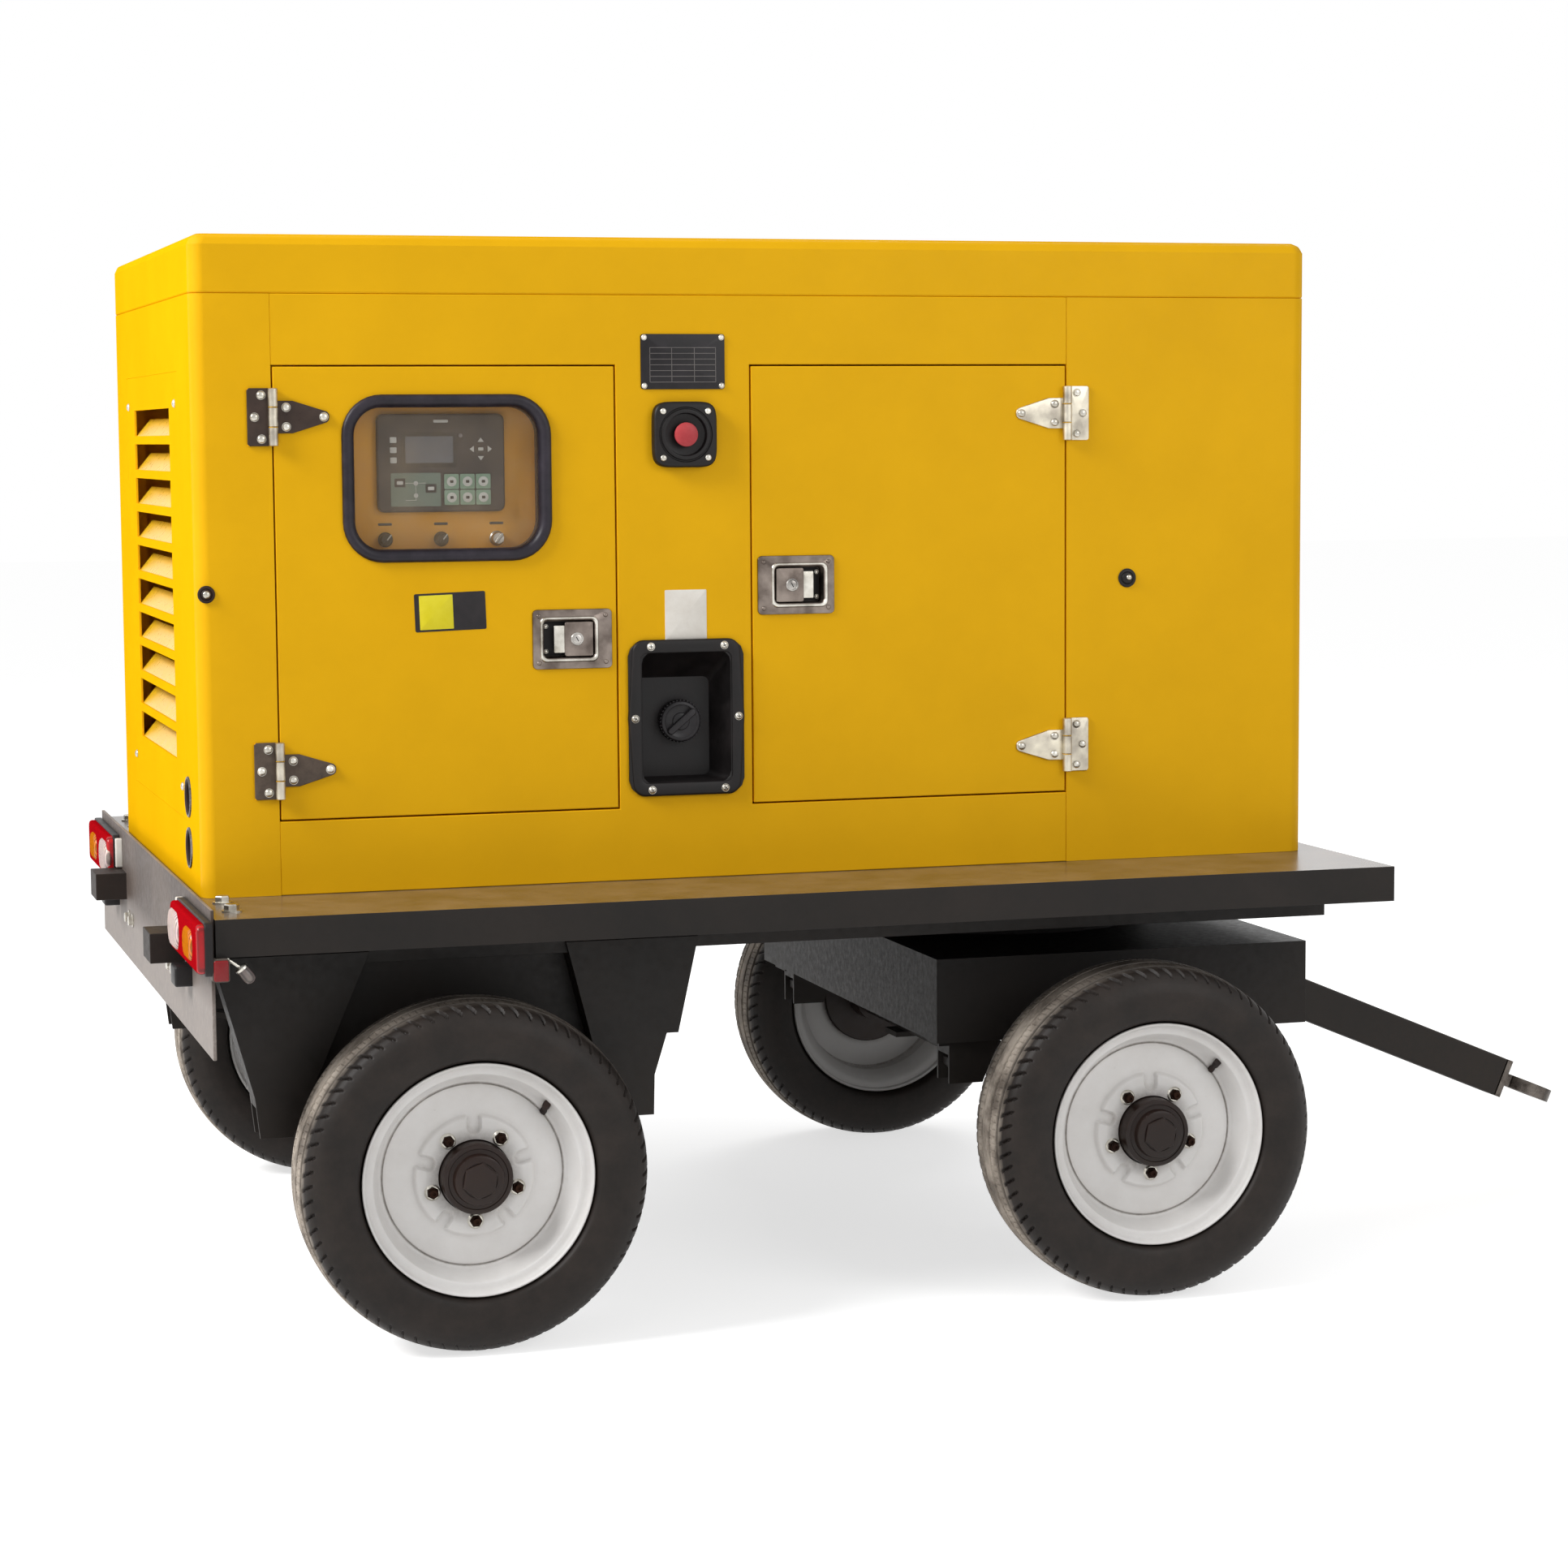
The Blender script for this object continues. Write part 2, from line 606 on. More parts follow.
def bogie_frame(carrier):
    """An open tray, wall down, with the lower ring, the spring hangers and the drawbar lugs."""
    sheet = BOGIE_SHEET
    tail, nose = FRONT_AXLE - BOGIE_REAR, BOGIE_NOSE
    spring_y = FRONT_SPRING_SPACING / 2
    ring_top = BOGIE_TOP + RING_HEIGHT / 2 - GAP
    inside = BOGIE_TOP - sheet
    waist = HANGER_SEAT + SPRING_EYE
    profile = [(-0.138, inside + OVERLAP), (0.040, inside + OVERLAP), (0.045, waist), (0.025, waist),
               (0.025, HANGER_FOOT), (-0.040, HANGER_FOOT)]
    hangers = [hanger(FRONT_AXLE, end, FRONT_SPRING_HALF, y, profile)
               for end in (-1, 1) for y in (-spring_y, spring_y)]
    slots = [hanger_slot(FRONT_AXLE, end, FRONT_SPRING_HALF, y)
             for end in (-1, 1) for y in (-spring_y, spring_y)]
    lug = BAR_SIZE / 2 + 0.004
    back = -BAR_PIN_FORWARD - 0.006
    cheek = [(back, 0.040), (0.030, 0.040), (0.055, -0.045), (0.055, -0.085), (0.0, -0.085), (back, -0.035)]
    cheek = [(PIN_X + x, PIN_Z + z) for x, z in cheek]
    lugs = [prism(cheek, "Y", *mirrored(side, lug, lug + 0.012)) for side in (-1, 1)]
    pin = rod("Y", (PIN_X, 0.0, PIN_Z), BAR_PIN_RADIUS, -lug - 0.020, lug + 0.020, ROUND_SIDES)
    under = BAR_SIZE / 2 + GAP
    stop = [(0.028, -under), (0.062, -under), (0.062, -under - 0.012), (0.028, -under - 0.012)]
    shelf = prism([(PIN_X + s, PIN_Z + n) for s, n in stop], "Y", -lug - 0.006, lug + 0.006)
    return piece(
        "bogie_frame", "chassis_black", carrier,
        block((tail, nose), (-BOGIE_HALF, BOGIE_HALF), (BOGIE_BOTTOM, BOGIE_TOP)),
        cut(block((tail + sheet, nose - sheet), (sheet - BOGIE_HALF, BOGIE_HALF - sheet),
                  (BOGIE_BOTTOM - BURIED, inside))),
        add(*hangers),
        cut(*slots),
        add(ring("Z", (FRONT_AXLE, 0.0, 0.0), RING_RADIUS - RING_BAND, RING_RADIUS,
                 BOGIE_TOP - OVERLAP, ring_top, TYRE_SIDES),
            rod("Z", (FRONT_AXLE, 0.0, 0.0), KINGPIN_RADIUS,
                BOGIE_TOP - OVERLAP, RAIL_BOTTOM + TURNTABLE_SHEET + 0.020)),
        add(*lugs),
        add(tilted(shelf)),
        add(pin),
    )


def drawbar(carrier):
    """A box-section bar whose narrow rear end swings on the bogie's cross pin."""
    end = BAR_SIZE / 2 - 0.012
    bush = [(PIN_X + end * math.sin(a), PIN_Z - end * math.cos(a))
            for a in (math.radians(-180 + 36 * step) for step in range(6))]
    half = BAR_SIZE / 2
    outline = bush + [(PIN_X + 0.012, PIN_Z - end), (PIN_X + 0.024, PIN_Z - half),
                      (PIN_X + BAR_LENGTH, PIN_Z - half), (PIN_X + BAR_LENGTH, PIN_Z + half),
                      (PIN_X + 0.024, PIN_Z + half), (PIN_X + 0.012, PIN_Z + end)]
    hole = rod("Y", (PIN_X, 0.0, PIN_Z), BAR_PIN_RADIUS + RUN, -half - BURIED, half + BURIED, ROUND_SIDES)
    return piece("drawbar", "chassis_black", carrier,
                 tilted(prism(outline, "Y", -half, half)), cut(tilted(hole)))


def tow_eye(carrier):
    back = PIN_X + BAR_LENGTH + GAP
    centre = PIN_X + EYE_SPAN
    half = BAR_SIZE / 2
    thick = EYE_HEIGHT / 2
    neck_end = centre - (EYE_OUTER + EYE_INNER) / 2
    neck = [(back + OVERLAP, -half + 0.012), (neck_end, -0.030), (neck_end, 0.030),
            (back + OVERLAP, half - 0.012)]
    shape = turned([(EYE_INNER, -thick), (EYE_OUTER, -thick), (EYE_OUTER, thick), (EYE_INNER, thick)],
                   "Z", (centre, 0.0, PIN_Z), 20, closed=True)
    bmesh.ops.rotate(shape, cent=(centre, 0.0, PIN_Z), matrix=Matrix.Rotation(math.pi / 20, 3, "Z"),
                     verts=shape.verts)
    return piece("tow_eye", "steel", carrier, tilted(shape),
                 add(tilted(prism(neck, "Z", PIN_Z - thick + OVERLAP, PIN_Z + thick - OVERLAP))),
                 add(tilted(block((back, back + EYE_FLANGE), (-half, half), (PIN_Z - half, PIN_Z + half)))))


turntable_ring()
steering = joint("steering", (FRONT_AXLE, 0.0, BOGIE_TOP), origin)
bogie_frame(steering)
axle("front_axle", FRONT_AXLE, FRONT_SPRING_HALF, FRONT_SPRING_SPACING, steering)
drawbar_tilt = joint("drawbar_tilt", (PIN_X, 0.0, PIN_Z), steering)
drawbar(drawbar_tilt)
tow_eye(drawbar_tilt)


# ---- Wheels: tyre, pressed steel rim and hub, each turning on its spindle

def outward(side, profile):
    """A profile whose distances run outboard, on the right or the left."""
    return [(r, side * s) for r, s in profile]


def wheel(label, station, side, parent):
    centre = (station, side * WHEEL_Y, TYRE_RADIUS)
    turning = joint(f"{label}_wheel", centre, parent)
    flat = 1 / math.cos(math.pi / TYRE_SIDES)  # brings the flats, not the corners, to the radius
    half, bead = TYRE_WIDTH / 2, RIM_WIDTH / 2 - 0.008
    seat = RIM_RADIUS - 0.0145
    deep = TYRE_RADIUS - RIM_RADIUS  # height of the tyre's wall
    crown = TYRE_RADIUS * flat
    outside = [(seat + GAP, bead - 0.002 - 2 * GAP), (RIM_RADIUS + 2 * GAP, bead - 2 * GAP),
               (RIM_RADIUS + 0.36 * deep, half), (crown - 0.014, half - 0.012), (crown, half - 0.034)]
    inside = [(TYRE_RADIUS - 0.015, half - 0.041), (RIM_RADIUS + 0.40 * deep, half - 0.014),
              (seat + GAP, bead - 0.018)]
    section = outside + [(r, -s) for r, s in reversed(outside)]
    section += [(r, -s) for r, s in reversed(inside)] + inside
    piece(f"{label}_tyre", "tyre_rubber", turning,
          turned(section, "Y", centre, TYRE_SIDES, closed=True))
    piece(f"{label}_rim", "rim_white", turning,
          turned(outward(side, rim_profile(seat, bead)), "Y", centre, TYRE_SIDES, closed=True))
    piece(f"{label}_hub", "chassis_black", turning,
          turned(outward(side, hub_profile()), "Y", centre, ROUND_SIDES))


def rim_profile(seat, bead):
    """Closed section of rim and disc together, outboard flange first."""
    edge = RIM_WIDTH / 2
    bore = HUB_RADIUS + 0.0015
    return [(RIM_RADIUS, edge), (RIM_RADIUS, bead), (seat, bead - 0.002),
            (seat - 0.019, 0.018), (seat - 0.019, -0.022), (seat, -bead + 0.002),
            (RIM_RADIUS, -bead), (RIM_RADIUS, -edge), (RIM_RADIUS - 0.006, -edge),
            (seat - 0.006, -bead + 0.006), (seat - 0.025, -0.020), (seat - 0.025, 0.006),
            (0.125, 0.020), (bore, 0.020), (bore, 0.027), (seat - 0.026, 0.027),
            (seat - 0.006, bead - 0.006), (RIM_RADIUS - 0.006, edge)]


def hub_profile():
    bore = SPINDLE_RADIUS + 1.5 * RUN
    return [(0.0, 0.055), (bore, 0.055), (bore, -0.055), (0.045, -0.055), (0.045, 0.0077),
            (0.100, 0.0077), (0.100, 0.020 - GAP), (HUB_RADIUS, 0.020 - GAP), (HUB_RADIUS, 0.070),
            (0.043, 0.072), (0.043, 0.082), (0.0, 0.082)]


wheel("rear_right", REAR_AXLE, -1, origin)
wheel("rear_left", REAR_AXLE, 1, origin)
wheel("front_right", FRONT_AXLE, -1, steering)
wheel("front_left", FRONT_AXLE, 1, steering)


# ---- Canopy shells

def shell_outline(end, reach):
    """Plan of an end shell: the end wall and the two corners it turns round; end is -1 rear."""
    wall, seam = end * HALF_LENGTH, end * (HALF_LENGTH - reach)
    outer = [(seam, -HALF_WIDTH)]
    for side in (-1, 1):
        arc = []
        for step in range(4):
            angle = math.pi / 6 * step
            x = wall - end * CORNER_RADIUS * (1 - math.sin(angle))
            y = side * (HALF_WIDTH - CORNER_RADIUS * (1 - math.cos(angle)))
            arc.append((x, y))
        outer += arc if side < 0 else arc[::-1]
    outer.append((seam, HALF_WIDTH))
    inner_x, inner_y = wall - end * WALL, HALF_WIDTH - WALL
    return outer + [(seam, inner_y), (inner_x, inner_y), (inner_x, -inner_y), (seam, -inner_y)]


def hinge_line(seam, toward, side):
    """Where a door's hinge stands in plan; toward is +1 when the door lies ahead of its seam."""
    return seam + toward * DOOR_GAP / 2, side * (HALF_WIDTH + KNUCKLE_RADIUS + HINGE_STANDOFF)


def hinge_half(seam, toward, side, reach, on_door):
    """One half of both a door's hinges: leaves, straps and knuckles, ready to be joined."""
    x, y = hinge_line(seam, toward, side)
    away = toward if on_door else -toward
    near = x + away * (KNUCKLE_RADIUS + HINGE_STANDOFF)
    third = HINGE_HEIGHT / 6
    spans = [(-third, third)] if on_door else [(-3 * third, -third - RUN), (third + RUN, 3 * third)]
    leaves, straps, knuckles = [], [], []
    for rise in HINGE_RISES:
        z = DOOR_SILL + rise
        leaves.append(block(sorted((near, near + away * reach)),
                            mirrored(side, HALF_WIDTH - OVERLAP, HALF_WIDTH + LEAF_SHEET),
                            (z - HINGE_HEIGHT / 2, z + HINGE_HEIGHT / 2)))
        for low, high in spans:
            straps.append(block(sorted((x + away * PIN_RADIUS * 1.5, near + away * 0.004)),
                                mirrored(side, HALF_WIDTH + 2 * HINGE_STANDOFF,
                                         HALF_WIDTH + LEAF_SHEET - 0.0005),
                                (z + low + 0.001, z + high - 0.001)))
            knuckles.append(rod("Z", (x, y, z), KNUCKLE_RADIUS, low, high, KNUCKLE_SIDES))
    return leaves, straps, knuckles


def hinge_pins(seam, toward, side, radius, overrun):
    """The pins of both a door's hinges, or the holes for them."""
    x, y = hinge_line(seam, toward, side)
    half = HINGE_HEIGHT / 2 + overrun
    return [rod("Z", (x, y, DOOR_SILL + rise), radius, -half, half, PIN_SIDES) for rise in HINGE_RISES]


def end_shell(name, end, reach):
    """An end wall turned round both corners, with its louvre opening and the doors' frame leaves."""
    seam = end * (HALF_LENGTH - reach)
    face = end * HALF_LENGTH
    low = FLOOR + PANEL_SILL
    half = PANEL_WIDTH / 2
    land = sorted((face + end * BURIED, face - end * (PANEL_SHEET + GAP)))
    steps = [
        cut(block(land, (-half - GAP, half + GAP), (low - GAP, low + PANEL_HEIGHT + GAP))),
        cut(block(sorted((face + end * BURIED, face - end * (WALL + BURIED))),
                  (PANEL_LAND - half, half - PANEL_LAND),
                  (low + PANEL_LAND, low + PANEL_HEIGHT - PANEL_LAND))),
    ]
    if end < 0:
        steps.append(cut(*[rod("X", (face, OUTLET_Y, FLOOR + rise), OUTLET_RADIUS,
                               -BURIED, WALL + BURIED) for rise in OUTLET_HEIGHTS]))
    for side in (-1, 1):
        leaves, straps, knuckles = hinge_half(seam, -end, side, FRAME_LEAF, False)
        steps += [add(*leaves), add(*straps), add(*knuckles),
                  add(*hinge_pins(seam, -end, side, PIN_RADIUS, -0.002))]
    return piece(name, "canopy_yellow", origin,
                 prism(shell_outline(end, reach), "Z", FLOOR, SEAM), *steps)


def louvre_panel(name, end):
    """A screwed-on panel whose blades lean inwards and up from the foot of each slot."""
    face = end * HALF_LENGTH
    low = FLOOR + PANEL_SILL
    half, blade_half = PANEL_WIDTH / 2, LOUVRE_WIDTH / 2
    first = low + LOUVRE_FOOT
    slots, blades = [], []
    for number in range(LOUVRES):
        foot = first + number * LOUVRE_PITCH
        slots.append(block(sorted((face + end * BURIED, face - end * BURIED)),
                           (-blade_half, blade_half), (foot, foot + LOUVRE_SLOT)))
        tip = face - end * (LOUVRE_DEPTH + PANEL_SHEET)
        outline = [(face - end * 0.0008, foot - OVERLAP - LOUVRE_SHEET),
                   (face - end * 0.0008, foot + 0.0005),
                   (face - end * PANEL_SHEET, foot + 0.0005),
                   (tip, foot + LOUVRE_RISE), (tip, foot + LOUVRE_RISE - 1.4 * LOUVRE_SHEET)]
        blades.append(prism(outline, "Y", -blade_half - 0.002, blade_half + 0.002))
    return piece(name, "canopy_yellow", origin,
                 block(sorted((face, face - end * PANEL_SHEET)), (-half, half), (low, low + PANEL_HEIGHT)),
                 cut(*slots), add(*blades))


def side_frame(name, side, *steps):
    """The fixed part of a side: the band above the doors, the sill below, and the centre column."""
    rear, front = REAR_SEAM + GAP, FRONT_SEAM - GAP
    lintel = DOOR_SILL + DOOR_HEIGHT
    outline = [(rear, FLOOR), (front, FLOOR), (front, DOOR_SILL), (COLUMN_FRONT, DOOR_SILL),
               (COLUMN_FRONT, lintel), (front, lintel), (front, SEAM), (rear, SEAM), (rear, lintel),
               (COLUMN_REAR, lintel), (COLUMN_REAR, DOOR_SILL), (rear, DOOR_SILL)]
    return piece(name, "canopy_yellow", origin,
                 prism(outline, "Y", *mirrored(side, HALF_WIDTH - WALL, HALF_WIDTH)), *steps)


def filler_outline(width, height, bulge):
    """A rounded panel whose two sides swell towards mid-height."""
    points = rounded(width, height, 0.028, 3)
    return [(x + math.copysign(bulge * (1 - (2 * z / height) ** 2), x), z) for x, z in points]


def column_outline(points, height):
    return [(COLUMN_MIDDLE + x, FLOOR + height + z) for x, z in points]


def filler_tray(grow):
    """Outline of the pocket's inside, or of its outside when grown."""
    width, height = (size - 2 * FILLER_LIP for size in FILLER_SIZE)
    return column_outline(rounded(width + 2 * grow, height + 2 * grow, 0.020 + grow, 3), FILLER_HEIGHT)


def roof():
    """A deep tray upside down, its top edge rolled over."""
    base = SEAM + GAP
    levels = [(0.0, 0.0), (ROOF_HEIGHT - ROOF_BEVEL, 0.0),
              (ROOF_HEIGHT - 0.3 * ROOF_BEVEL, 0.3 * ROOF_BEVEL),
              (ROOF_HEIGHT, ROOF_BEVEL)]
    shape = bmesh.new()
    rings = []
    for rise, inset in levels:
        radius = CORNER_RADIUS if inset < CORNER_RADIUS / 2 else CORNER_RADIUS / 2
        outline = rounded(CANOPY_LENGTH - 2 * inset, CANOPY_WIDTH - 2 * inset, radius)
        rings.append([shape.verts.new((x, y, base + rise)) for x, y in outline])
    for under, over in zip(rings, rings[1:]):
        for number in range(len(under)):
            after = (number + 1) % len(under)
            shape.faces.new((under[number], under[after], over[after], over[number]))
    shape.faces.new(rings[0])
    shape.faces.new(rings[-1])
    inner_x, inner_y = HALF_LENGTH - WALL, HALF_WIDTH - WALL
    return piece("roof", "canopy_yellow", origin, finished(shape),
                 cut(block((-inner_x, inner_x), (-inner_y, inner_y),
                           (base - BURIED, base + ROOF_HEIGHT - WALL))))


end_shell("rear_end_shell", -1, REAR_WRAP)
end_shell("front_end_shell", 1, FRONT_WRAP)
louvre_panel("louvre_panel", -1)
louvre_panel("outlet_grille", 1)
side_frame("side_frame_right", -1,
           cut(prism(filler_tray(FILLER_SHEET + GAP), "Y",
                     -HALF_WIDTH - BURIED, BURIED + WALL - HALF_WIDTH)))
side_frame("side_frame_left", 1)
roof()


# ---- Column fittings: nameplate, emergency stop and fuel filler

def nameplate():
    face = -HALF_WIDTH - GAP
    return piece("nameplate", "black_plastic", origin,
                 prism(column_outline(rounded(0.152, 0.096, 0.006, 2), 0.910), "Y", face - 0.002, face))


def stop_station():
    face = -HALF_WIDTH - GAP
    centre = (COLUMN_MIDDLE, 0.0, FLOOR + STOP_HEIGHT)
    dish = face - STOP_DEPTH + 0.008
    piece("estop_box", "black_plastic", origin,
          prism(column_outline(rounded(STOP_SIZE, STOP_SIZE, 0.032), STOP_HEIGHT), "Y",
                face - STOP_DEPTH, face),
          cut(rod("Y", centre, BUTTON_RADIUS + 0.014, face - STOP_DEPTH - BURIED, dish)),
          cut(rod("Y", centre, 0.008 + 1.5 * RUN, dish - BURIED, dish + 0.0108)))
    pushed = joint("estop_push", (COLUMN_MIDDLE, face - STOP_DEPTH, FLOOR + STOP_HEIGHT), origin)
    under = dish - BUTTON_TRAVEL - 0.001
    profile = [(0.0, dish + 0.004), (0.008, dish + 0.004), (0.008, under), (BUTTON_RADIUS, under),
               (BUTTON_RADIUS, under - 0.004), (BUTTON_RADIUS - 0.003, under - 0.007), (0.0, under - 0.007)]
    piece("estop_button", "red_plastic", pushed, turned(profile, "Y", centre))


def filler():
    face = -HALF_WIDTH - GAP
    back = -HALF_WIDTH + FILLER_DEPTH
    cap_z = FLOOR + FILLER_HEIGHT - CAP_DROP
    centre = (COLUMN_MIDDLE, 0.0, cap_z)
    neck_y = back + 0.035
    piece("filler_recess", "black_plastic", origin,
          prism(column_outline(filler_outline(*FILLER_SIZE, 0.006), FILLER_HEIGHT), "Y",
                face - 0.006, face),
          add(prism(filler_tray(FILLER_SHEET), "Y", face - 0.003, back)),
          cut(prism(filler_tray(0.0), "Y", face - BURIED, back - FILLER_SHEET)),
          add(rod("Y", centre, 0.030, back - FILLER_SHEET + OVERLAP, neck_y + 0.028)),
          add(rod("Z", (COLUMN_MIDDLE, neck_y, 0.0), 0.026, TANK_TOP + GAP, cap_z)),
          cut(rod("Y", centre, 0.020 + 1.5 * RUN, back - FILLER_SHEET - BURIED, back + 0.014)))
    turning = joint("fuel_cap_turn", (COLUMN_MIDDLE, back - FILLER_SHEET, cap_z), origin)
    rim = back - FILLER_SHEET - GAP
    profile = [(0.0, rim + 0.012), (0.020, rim + 0.012), (0.020, rim), (CAP_RADIUS, rim),
               (CAP_RADIUS, rim - CAP_LENGTH + 0.003), (CAP_RADIUS - 0.003, rim - CAP_LENGTH),
               (0.0, rim - CAP_LENGTH)]
    reach, wide = CAP_RADIUS - 0.005, 0.006
    grip = block((COLUMN_MIDDLE - reach, COLUMN_MIDDLE + reach),
                 (rim - CAP_LENGTH - 0.010, rim - CAP_LENGTH + 0.002),
                 (cap_z - wide, cap_z + wide))
    bmesh.ops.rotate(grip, cent=centre, matrix=Matrix.Rotation(math.radians(-40), 3, "Y"), verts=grip.verts)
    piece("fuel_cap", "black_plastic", turning, turned(profile, "Y", centre), add(grip))


nameplate()
stop_station()
filler()


# ---- Doors, each with its hinges and its latch

def door(label, side, seam, toward, latch_rise, window=False):
    """A lift-proof side door: hinged at its seam, latched at its free edge."""
    width = REAR_DOOR_WIDTH if seam < 0 else FRONT_SEAM - COLUMN_FRONT
    hinged = seam + toward * DOOR_GAP
    free = seam + toward * (width - DOOR_GAP)
    low, high = DOOR_SILL + DOOR_GAP, DOOR_SILL + DOOR_HEIGHT - DOOR_GAP
    x, y = hinge_line(seam, toward, side)
    opening = joint(f"{label}_door_open", (x, y, DOOR_SILL + DOOR_HEIGHT / 2), origin)
    skin = mirrored(side, HALF_WIDTH - WALL, HALF_WIDTH)
    middle_x = free - toward * (LATCH_INSET + LATCH_WIDTH / 2)
    middle_z = DOOR_SILL + latch_rise
    recess_x = middle_x - toward * LATCH_OFFSET
    pan_x, pan_z = RECESS_WIDTH / 2 + PAN_SHEET, RECESS_HEIGHT / 2 + PAN_SHEET
    pan_y = HALF_WIDTH - RECESS_DEPTH - PAN_SHEET
    pocket = block((recess_x - pan_x - GAP, recess_x + pan_x + GAP),
                   mirrored(side, pan_y - GAP, HALF_WIDTH + BURIED),
                   (middle_z - pan_z - GAP, middle_z + pan_z + GAP))
    leaves, straps, knuckles = hinge_half(seam, toward, side, DOOR_LEAF, True)
    steps = [cut(pocket), add(*leaves), add(*straps), add(*knuckles),
             cut(*hinge_pins(seam, toward, side, PIN_RADIUS + RUN, BURIED))]
    if window:
        steps.insert(0, cut(prism(window_outline(0.0), "Y", *mirrored(side, HALF_WIDTH - WALL - BURIED,
                                                                       HALF_WIDTH + BURIED))))
    piece(f"{label}_door", "canopy_yellow", opening,
          block(sorted((hinged, free)), skin, (low, high)), *steps)
    latch(label, side, toward, opening, middle_x, middle_z, recess_x)
    return opening


def latch(label, side, toward, opening, middle_x, middle_z, recess_x):
    """A paddle latch let into its door; the paddle swings out about an upright pin."""
    face = HALF_WIDTH + GAP
    front = face + LATCH_FLANGE
    pan_x, pan_z = RECESS_WIDTH / 2 + PAN_SHEET, RECESS_HEIGHT / 2 + PAN_SHEET
    pivot_x = recess_x + toward * (RECESS_WIDTH / 2 - PADDLE_PLAY)
    pivot_y = side * (front + 0.001 - PADDLE_SHEET / 2)
    pin_z = RECESS_HEIGHT / 2 + PAN_SHEET - 0.001
    plate = rounded(LATCH_WIDTH, LATCH_HEIGHT, 0.008, 2, (middle_x, middle_z))
    outer = [(recess_x - pan_x, recess_x + pan_x),
             mirrored(side, HALF_WIDTH - RECESS_DEPTH - PAN_SHEET, front - 0.001),
             (middle_z - pan_z, middle_z + pan_z)]
    inner = [(recess_x - RECESS_WIDTH / 2, recess_x + RECESS_WIDTH / 2),
             mirrored(side, HALF_WIDTH - RECESS_DEPTH, front + BURIED),
             (middle_z - RECESS_HEIGHT / 2, middle_z + RECESS_HEIGHT / 2)]
    centre = (pivot_x, pivot_y, middle_z)
    piece(f"{label}_latch", "stainless", opening,
          prism(plate, "Y", *mirrored(side, face, front)),
          add(block(*outer)), cut(block(*inner)),
          cut(rod("Z", centre, PADDLE_PIN + RUN / 2, -pin_z, pin_z, 8)))
    swinging = joint(f"{label}_paddle_swing", centre, opening)
    end_x = pivot_x - toward * PADDLE_WIDTH
    half_z = RECESS_HEIGHT / 2 - 0.0015
    piece(f"{label}_paddle", "stainless", swinging,
          rod("Z", centre, PADDLE_PIN, -pin_z + RUN, pin_z - RUN, 8),
          add(rod("Z", centre, PADDLE_SHEET / 2 + 0.0008, -half_z + 0.001, half_z - 0.001, 10)),
          add(block(sorted((pivot_x, end_x)),
                    mirrored(side, front + 0.001 - PADDLE_SHEET, front + 0.001),
                    (middle_z - half_z, middle_z + half_z))))


def window_outline(grow):
    outline = rounded(WINDOW_WIDTH - 2 * GASKET_LIP + 2 * grow, WINDOW_HEIGHT - 2 * GASKET_LIP + 2 * grow,
                      WINDOW_RADIUS + grow, 4)
    return [(WINDOW_X + x, WINDOW_Z + z) for x, z in outline]


def window(opening):
    """A pane held in a rubber surround that grips the edge of the door's hole."""
    skin = -HALF_WIDTH
    sight = GASKET_LIP - GASKET_BAND
    pane_mid = skin + 0.010
    grip = 0.005
    piece("window_gasket", "rubber", opening,
          prism(window_outline(GASKET_LIP), "Y", skin - GAP - 0.007, skin - GAP),
          add(prism(window_outline(-GAP), "Y", skin - 0.005, skin + WALL + 0.002)),
          cut(prism(window_outline(sight), "Y", skin - BURIED - 0.01, skin + WALL + BURIED)),
          cut(prism(window_outline(sight + grip), "Y",
                    pane_mid - PANE_SHEET / 2 - GAP, pane_mid + PANE_SHEET / 2 + GAP)))
    piece("window_pane", "pane", opening,
          prism(window_outline(sight + grip - GAP), "Y",
                pane_mid - PANE_SHEET / 2, pane_mid + PANE_SHEET / 2))


window(door("right_rear", -1, REAR_SEAM, 1, REAR_LATCH_RISE, window=True))
door("right_front", -1, FRONT_SEAM, -1, FRONT_LATCH_RISE)
door("left_rear", 1, REAR_SEAM, 1, REAR_LATCH_RISE)
door("left_front", 1, FRONT_SEAM, -1, FRONT_LATCH_RISE)


# ---- Control compartment behind the window

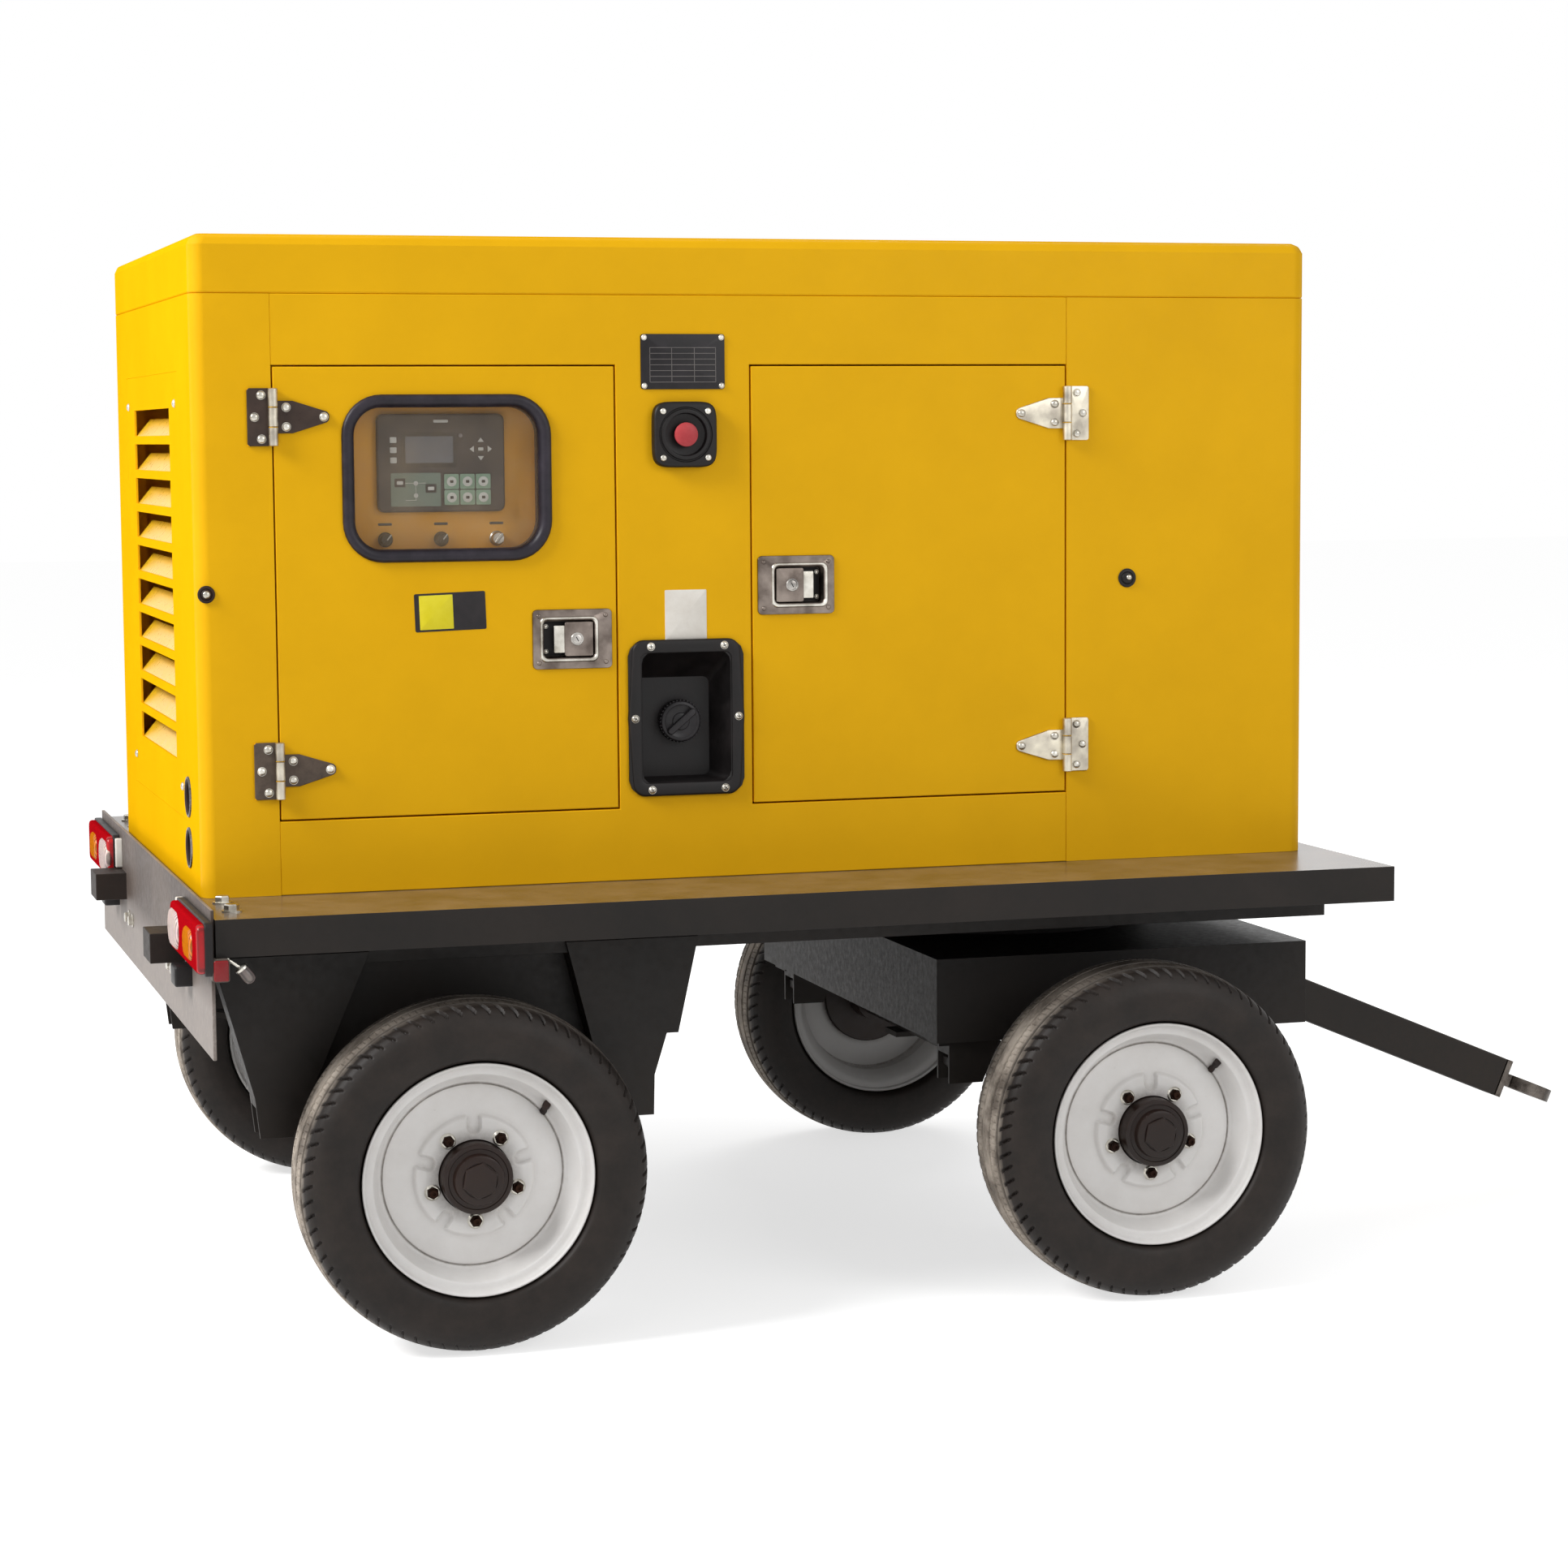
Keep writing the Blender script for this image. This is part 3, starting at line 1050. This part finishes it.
def controls():
    front = PANEL_BACKSET - HALF_WIDTH
    width, height = CONTROL_BOX_SIZE
    low, high = WINDOW_Z - height / 2, WINDOW_Z + height / 2
    lintel = DOOR_SILL + DOOR_HEIGHT + 0.010
    knob_z = WINDOW_Z - KNOB_DROP
    knob_xs = [WINDOW_X + step * KNOB_PITCH for step in (-1, 0, 1)]
    holes = [rod("Y", (x, 0.0, knob_z), 0.003 + RUN, front - BURIED, front + 0.016, 8) for x in knob_xs]
    piece("control_box", "panel_ochre", origin,
          block((WINDOW_X - width / 2, WINDOW_X + width / 2),
                (front, front + CONTROL_BOX_DEPTH), (low, high)),
          cut(block((WINDOW_X - width / 2 + 0.02, WINDOW_X + width / 2 - 0.02),
                    (front + 0.018, front + CONTROL_BOX_DEPTH - 0.003), (low - BURIED, high - 0.02))),
          add(block((WINDOW_X - width / 2 + 0.01, WINDOW_X + width / 2 - 0.01),
                    (WALL - HALF_WIDTH + GAP, front + 0.004), (lintel, lintel + 0.030))),
          cut(*holes))
    w, h, thick = CONTROLLER_SIZE
    z = WINDOW_Z + CONTROLLER_RISE
    outline = rounded(w, h, 0.012, 3, (WINDOW_X, z))
    piece("controller", "black_plastic", origin, prism(outline, "Y", front - GAP - thick, front - GAP))
    for number, x in enumerate(knob_xs, 1):
        base = front - GAP
        turning = joint(f"knob_{number}_turn", (x, base, knob_z), origin)
        profile = [(0.0, base + 0.014), (0.003, base + 0.014), (0.003, base), (KNOB_RADIUS, base),
                   (KNOB_RADIUS - 0.002, base - KNOB_LENGTH), (0.0, base - KNOB_LENGTH)]
        piece(f"knob_{number}", "black_plastic", turning, turned(profile, "Y", (x, 0.0, knob_z)))


controls()


# ---- Machinery: base tank, engine, alternator, cooling, exhaust and battery

def rise(low, high):
    """Two heights above the tank."""
    return TANK_TOP + low, TANK_TOP + high


def machinery():
    half_x, half_y = HALF_LENGTH - WALL - TANK_CLEAR, HALF_WIDTH - WALL - TANK_CLEAR
    piece("base_tank", "chassis_black", origin,
          block((-half_x, half_x), (-half_y, half_y), (FLOOR, TANK_TOP - GAP)))
    front = ENGINE_LENGTH
    fan_z = TANK_TOP + FAN_HEIGHT
    crank = (0.0, 0.0, SHAFT_Z)
    feet = [block((x - 0.04, x + 0.04), mirrored(side, 0.10, ENGINE_HALF_WIDTH), rise(0.0, 0.14))
            for x in (0.10, front - 0.10) for side in (-1, 1)]
    piece("engine", "engine_green", origin,
          block((0.02, front), (-0.14, 0.14), rise(CRANKCASE_RISE, CRANKCASE_RISE + CRANKCASE_HEIGHT)),
          add(*feet),
          add(block((0.05, front - 0.05), (-0.105, 0.105), rise(0.030, CRANKCASE_RISE + OVERLAP))),
          add(block((0.04, front - 0.03), (-0.110, 0.110),
                    rise(CRANKCASE_RISE + CRANKCASE_HEIGHT - OVERLAP,
                         CRANKCASE_RISE + CRANKCASE_HEIGHT + HEAD_HEIGHT))),
          add(rod("X", crank, BELL_RADIUS, -BELL_LENGTH + 0.01, 0.03)),
          add(rod("Y", (0.30, 0.0, TANK_TOP + 0.52), 0.030, 0.10, 0.26)),
          add(rod("X", (0.0, 0.26, TANK_TOP + 0.52), 0.085, 0.14, 0.46)),
          add(rod("X", (0.0, 0.0, fan_z), 0.045, front - OVERLAP, FAN_STATION - 0.035)),
          add(rod("X", (0.0, 0.0, fan_z), SHAFT_RADIUS, FAN_STATION - 0.036, FAN_STATION + 0.018, 12)))
    bell = 0.01 - BELL_LENGTH - GAP
    tail = bell - ALTERNATOR_LENGTH
    profile = [(0.0, tail), (0.090, tail), (ALTERNATOR_RADIUS - 0.02, tail + 0.04),
               (ALTERNATOR_RADIUS, tail + 0.07), (ALTERNATOR_RADIUS, bell - 0.05),
               (BELL_RADIUS, bell - 0.035),
               (BELL_RADIUS, bell), (0.0, bell)]
    stands = [block((x - 0.04, x + 0.04), mirrored(side, 0.085, 0.200), rise(0.0, 0.150))
              for x in (tail + 0.14, bell - 0.14) for side in (-1, 1)]
    piece("alternator", "cast_grey", origin, turned(profile, "X", crank), add(*stands),
          add(block((tail + 0.12, bell - 0.14), (-0.12, 0.12), (SHAFT_Z + 0.15, SHAFT_Z + 0.29))))
    depth, width, height = RADIATOR_SIZE
    shroud = ring("X", (0.0, 0.0, fan_z), FAN_RADIUS + 0.010, FAN_RADIUS + 0.022,
                  FAN_STATION - 0.040, RADIATOR_STATION + OVERLAP, TYRE_SIDES)
    piece("radiator", "aluminium", origin,
          block((RADIATOR_STATION, RADIATOR_STATION + depth), (-width / 2, width / 2), rise(0.0, height)),
          cut(block((RADIATOR_STATION - BURIED, RADIATOR_STATION + depth * 0.4),
                    (-FAN_RADIUS, FAN_RADIUS), rise(0.085, FAN_HEIGHT + FAN_RADIUS))),
          add(shroud),
          add(block((RADIATOR_STATION - 0.015, RADIATOR_STATION + depth + 0.015),
                    (-width / 2 + 0.01, width / 2 - 0.01),
                    rise(height - 0.080, height - 0.004))))
    fan(fan_z)
    exhaust()
    length, wide, tall = BATTERY_SIZE
    x, y = 0.05 - half_x, half_y - 0.05
    posts = [rod("Z", (x + share * length, y - 0.04, 0.0), 0.009,
                 TANK_TOP + tall - OVERLAP, TANK_TOP + tall + 0.016, 10)
             for share in (0.15, 0.85)]
    piece("battery", "black_plastic", origin,
          block((x, x + length), (y - wide, y), rise(0.0, tall)),
          add(*posts))


def fan(z):
    """Pitched blades on a hub that runs on the water pump's spindle."""
    turning = joint("fan_spin", (FAN_STATION, 0.0, z), origin)
    blades = []
    for number in range(FAN_BLADES):
        blade = block((-0.0025, 0.0025), (-0.019, 0.019), (0.045, FAN_RADIUS))
        wide = [v for v in blade.verts if v.co.z > 0.1]
        bmesh.ops.scale(blade, vec=(1.0, 2.2, 1.0), verts=wide)
        pitch = Matrix.Rotation(math.radians(32), 3, "Z")
        bmesh.ops.rotate(blade, cent=(0, 0, 0), matrix=pitch, verts=blade.verts)
        spread = Matrix.Rotation(2 * math.pi * number / FAN_BLADES, 3, "X")
        bmesh.ops.rotate(blade, cent=(0, 0, 0), matrix=spread, verts=blade.verts)
        bmesh.ops.translate(blade, vec=(FAN_STATION, 0.0, z), verts=blade.verts)
        blades.append(blade)
    centre = (0.0, 0.0, z)
    piece("fan", "black_plastic", turning,
          rod("X", centre, 0.052, FAN_STATION - 0.020, FAN_STATION + 0.020),
          add(*blades),
          cut(rod("X", centre, SHAFT_RADIUS + 1.5 * RUN, FAN_STATION - 0.04, FAN_STATION + 0.04)))


def exhaust():
    """Silencer along the engine's right side, hung on the pipe from the cylinder head."""
    x = 0.16
    y, z = -0.260, TANK_TOP + 0.560
    end = x + MUFFLER_LENGTH
    port = TANK_TOP + CRANKCASE_RISE + CRANKCASE_HEIGHT + 0.052
    profile = [(0.0, x - 0.06), (MUFFLER_RADIUS - 0.03, x - 0.06), (MUFFLER_RADIUS, x - 0.03),
               (MUFFLER_RADIUS, end - 0.10), (MUFFLER_RADIUS - 0.03, end - 0.07), (0.0, end - 0.07)]
    piece("muffler", "steel", origin, turned(profile, "X", (0.0, y, z)),
          add(rod("Y", (x + 0.13, 0.0, port), 0.024, y + 0.004, -0.110 - GAP)),
          add(rod("Y", (x + 0.13, 0.0, port), 0.042, -0.122, -0.112 - GAP)),
          add(rod("X", (0.0, y, z), 0.026, end - 0.08, RADIATOR_STATION - TAILPIPE_TO_RADIATOR)))


machinery()
